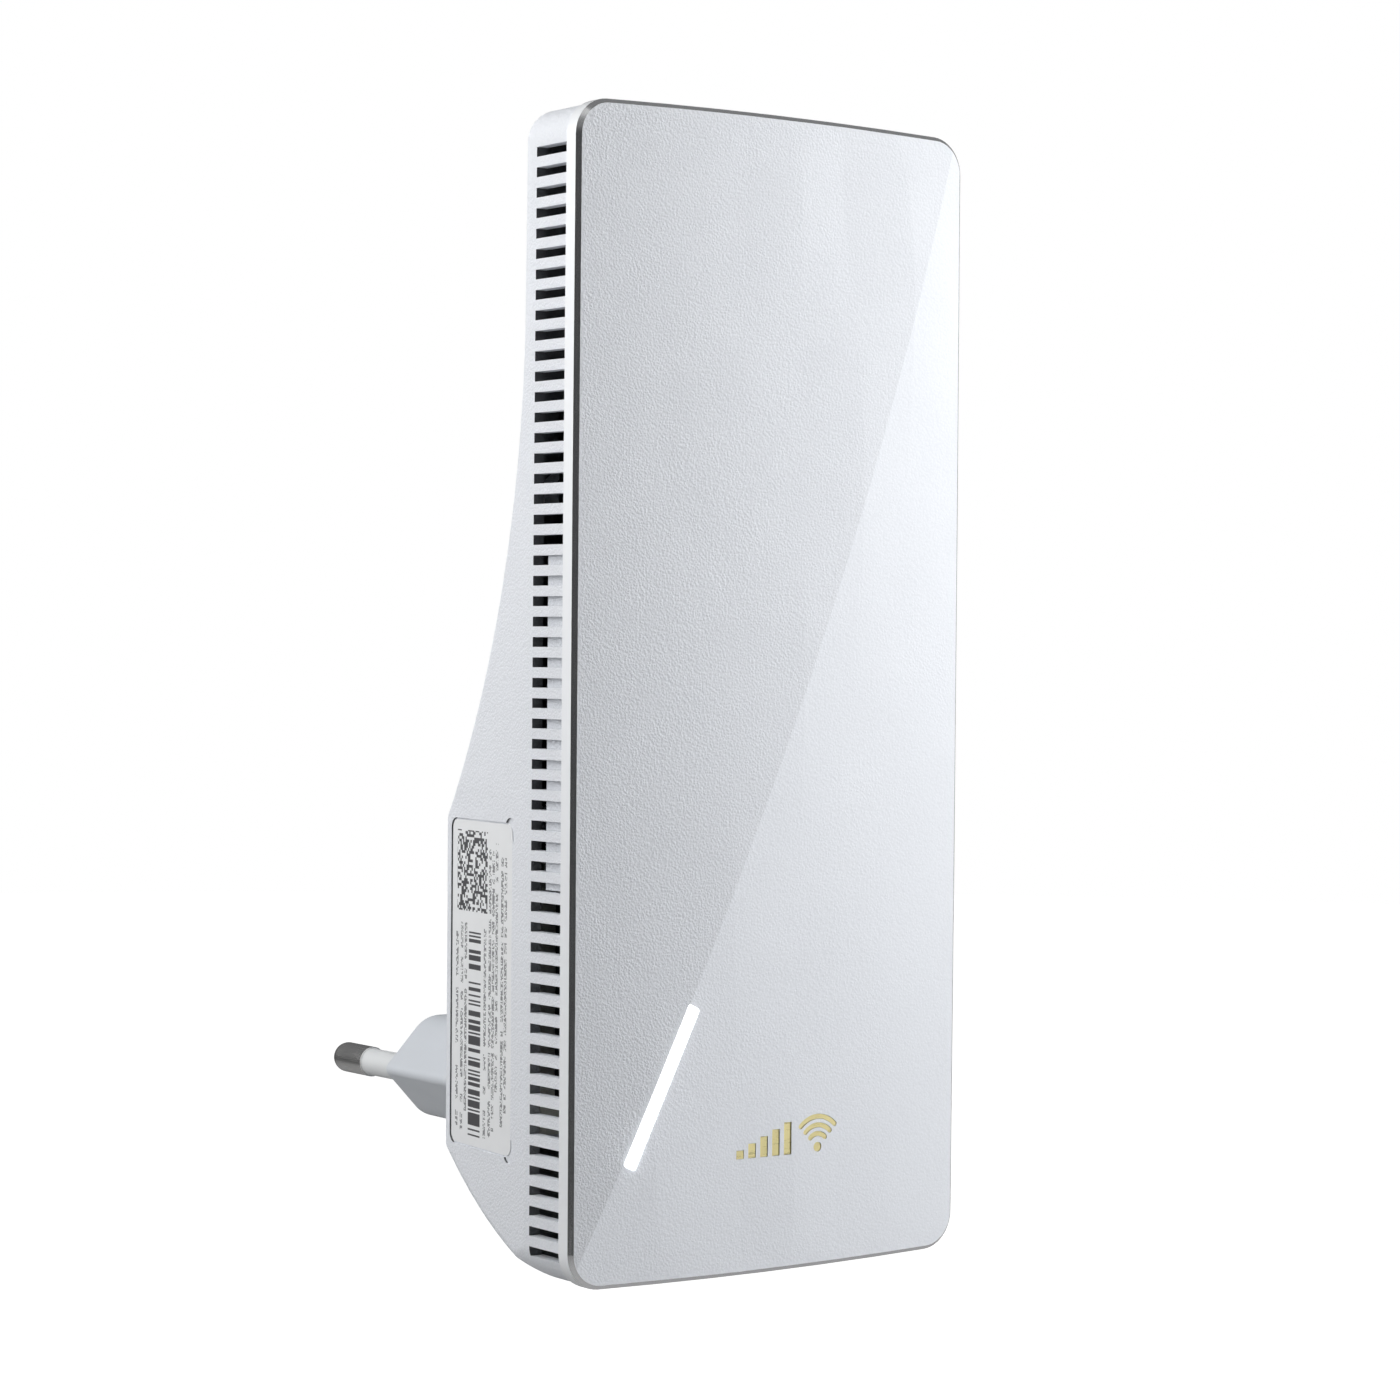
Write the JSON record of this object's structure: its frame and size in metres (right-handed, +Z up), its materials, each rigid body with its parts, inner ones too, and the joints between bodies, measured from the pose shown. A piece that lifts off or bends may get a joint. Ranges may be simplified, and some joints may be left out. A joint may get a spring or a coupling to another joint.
{
  "type": "wifi range extender",
  "caption": "Slim upright wireless range extender with a creased two-facet front, lit accent bar, slotted tapering sides and a built-in two-pin wall plug.",
  "frame": {"origin": "centre of the plug's engagement face, midway between its two pins, where it meets the wall socket", "axes": "+Y into the wall along the pins, +X to the right seen from the room, +Z up"},
  "size_m": [0.072, 0.0818, 0.1724],
  "materials": {
    "cover_plastic": "fine satin grain, glossy rim",
    "housing_plastic": "fine pebbled grain",
    "light_diffuser": "frosted, lit white from behind",
    "emblem_gold": "pale gold foil, satin",
    "label_film": null,
    "plug_plastic": "smooth satin",
    "pin_nickel": "nickel plated, drawn marks",
    "sleeve_plastic": "smooth satin",
    "contact_brass": "stamped, satin",
    "board_black": "black solder mask",
    "board_green": "green solder mask",
    "board_white": "white solder mask",
    "chip_black": "moulded epoxy",
    "shield_tin": "tin plate, satin",
    "thermal_pad": "soft, dull",
    "sink_aluminium": "rolled sheet, satin",
    "sink_dark": "black anodised, extruded",
    "antenna_board": "laminate with copper traces",
    "coax_grey": "extruded jacket",
    "coax_black": "extruded jacket",
    "gold_contact": "gold plated",
    "port_tin": "tin plate, satin",
    "port_plastic": "glass filled moulding",
    "switch_plastic": "moulded",
    "plunger_plastic": "moulded",
    "socket_plastic": "moulded nylon",
    "capacitor_sleeve": "shrunk sleeve",
    "film_yellow": "potted box",
    "tape_yellow": "wound polyester tape",
    "ferrite": "sintered, matt",
    "choke_enamel": "coated ring core with enamelled wire",
    "fuse_ceramic": "glazed",
    "disc_blue": "dipped epoxy",
    "insulation_film": "milky polyester sheet",
    "lead_red": "extruded",
    "lead_black": "extruded",
    "screw_steel": "zinc plated",
    "led_lens": "phosphor dome in a white body"
  },
  "bodies": {
    "casing": {"front_cover": "cover_plastic", "rear_housing": "housing_plastic", "light_bar": "light_diffuser", "light_guide": "light_diffuser", "led_board": "board_white", "status_leds": "led_lens", "cover_emblem": "emblem_gold", "rating_label": "label_film", "plug_body": "plug_plastic", "plug_pin_left": "pin_nickel", "plug_pin_right": "pin_nickel", "pin_sleeve_left": "sleeve_plastic", "pin_sleeve_right": "sleeve_plastic", "plug_contacts": "contact_brass", "power_board": "board_green", "x_capacitor": "film_yellow", "bridge_rectifier": "chip_black", "power_controller": "chip_black", "output_socket": "socket_plastic", "bulk_capacitors": "capacitor_sleeve", "output_capacitors": "capacitor_sleeve", "fuse": "fuse_ceramic", "surge_disc": "disc_blue", "line_choke": "choke_enamel", "transformer_winding": "tape_yellow", "transformer_core": "ferrite", "insulation_sheet": "insulation_film", "main_board": "board_black", "shield_cans": "shield_tin", "radio_chips": "chip_black", "thermal_pads": "thermal_pad", "front_heat_sink": "sink_aluminium", "processor": "chip_black", "memory_chip": "chip_black", "flash_chip": "chip_black", "processor_pad": "thermal_pad", "rear_heat_sink": "sink_dark", "line_transformer": "chip_black", "power_inlet": "socket_plastic", "antenna_upper_left": "antenna_board", "antenna_upper_right": "antenna_board", "antenna_lower_left": "antenna_board", "antenna_lower_right": "antenna_board", "coax_upper_left": "coax_grey", "coax_upper_right": "coax_grey", "coax_lower_left": "coax_black", "coax_lower_right": "coax_black", "coax_jacks": "gold_contact", "port_shell": "port_tin", "port_insert": "port_plastic", "port_contacts": "gold_contact", "pairing_switch": "switch_plastic", "reset_switch": "switch_plastic", "power_lead_red": "lead_red", "power_lead_black": "lead_black", "board_screws": "screw_steel", "power_screws": "screw_steel"},
    "pairing_key": {"pairing_button": "housing_plastic", "pairing_plunger": "plunger_plastic"},
    "reset_key": {"reset_plunger": "plunger_plastic"}
  },
  "joints": [
    {"name": "pairing_press", "type": "slide", "parent": "casing", "child": "pairing_key", "axis": [-1, 0, 0], "range_m": [0, 0.0003], "stiffness_N_per_m": 800},
    {"name": "reset_press", "type": "slide", "parent": "casing", "child": "reset_key", "axis": [-1, 0, 0], "range_m": [0, 0.00025], "stiffness_N_per_m": 800}
  ]
}
